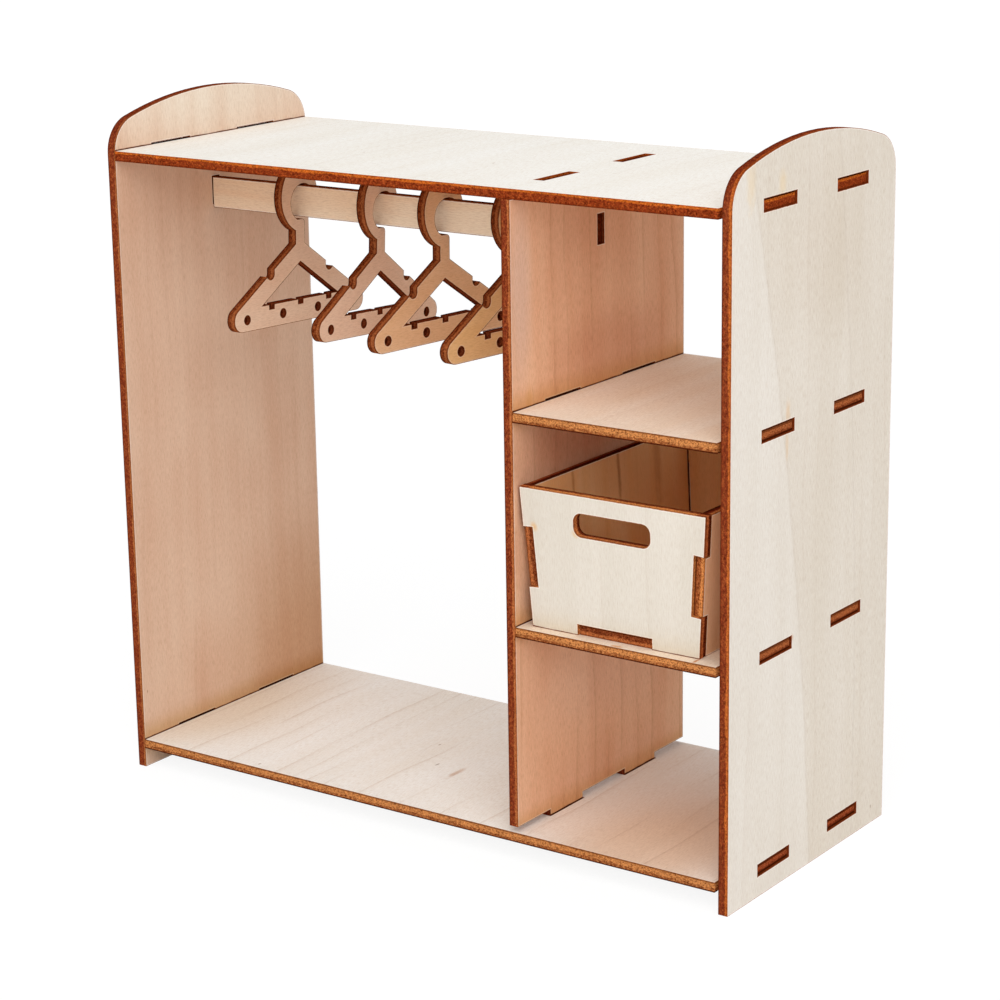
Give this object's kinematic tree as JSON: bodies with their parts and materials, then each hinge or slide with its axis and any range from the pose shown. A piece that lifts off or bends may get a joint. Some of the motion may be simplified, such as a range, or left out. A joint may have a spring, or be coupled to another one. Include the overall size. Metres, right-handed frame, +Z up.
{
  "type": "earring display stand",
  "caption": "Slotted plywood display stand with an open hanging bay, a rail with small swinging hangers, shelves, and a small open drawer that pulls out forwards.",
  "frame": {"origin": "middle of the footprint, on the surface that the stand's side panels rest on", "axes": "+Z up; +X to the right as seen from the front, towards the shelves; -Y is the open front that the drawer pulls out of"},
  "size_m": [0.19, 0.079, 0.1845],
  "materials": {
    "side_panel_ply": "bare basswood plywood, cut by laser with browned edges",
    "board_ply": "bare basswood plywood, cut by laser with browned edges",
    "rail_ply": "bare basswood plywood, cut by laser with browned edges",
    "drawer_ply": "bare basswood plywood, cut by laser with browned edges",
    "hanger_ply": "bare basswood plywood, cut by laser with browned edges"
  },
  "bodies": {
    "stand": {"left_side": "side_panel_ply", "right_side": "side_panel_ply", "base_board": "board_ply", "top_board": "board_ply", "lower_shelf": "board_ply", "upper_shelf": "board_ply", "divider": "side_panel_ply", "hanging_rail": "rail_ply"},
    "drawer": {"drawer_front": "drawer_ply", "drawer_back": "drawer_ply", "drawer_left": "drawer_ply", "drawer_right": "drawer_ply", "drawer_floor": "drawer_ply"},
    "hanger_1": {"hanger_1": "hanger_ply"},
    "hanger_2": {"hanger_2": "hanger_ply"},
    "hanger_3": {"hanger_3": "hanger_ply"},
    "hanger_4": {"hanger_4": "hanger_ply"}
  },
  "joints": [
    {"name": "drawer_slide", "type": "slide", "parent": "stand", "child": "drawer", "axis": [0, -1, 0], "range_m": [0, 0.08]},
    {"name": "hanger_1_swing", "type": "hinge", "parent": "stand", "child": "hanger_1", "pos_m": [-0.0631, 0, 0.15503], "axis": [1, 0, 0], "range_deg": [-55, 55]},
    {"name": "hanger_2_swing", "type": "hinge", "parent": "stand", "child": "hanger_2", "pos_m": [-0.0357, 0, 0.15503], "axis": [1, 0, 0], "range_deg": [-55, 55]},
    {"name": "hanger_3_swing", "type": "hinge", "parent": "stand", "child": "hanger_3", "pos_m": [-0.0148, 0, 0.15503], "axis": [1, 0, 0], "range_deg": [-55, 55]},
    {"name": "hanger_4_swing", "type": "hinge", "parent": "stand", "child": "hanger_4", "pos_m": [0.0086, 0, 0.15503], "axis": [1, 0, 0], "range_deg": [-55, 55]}
  ]
}
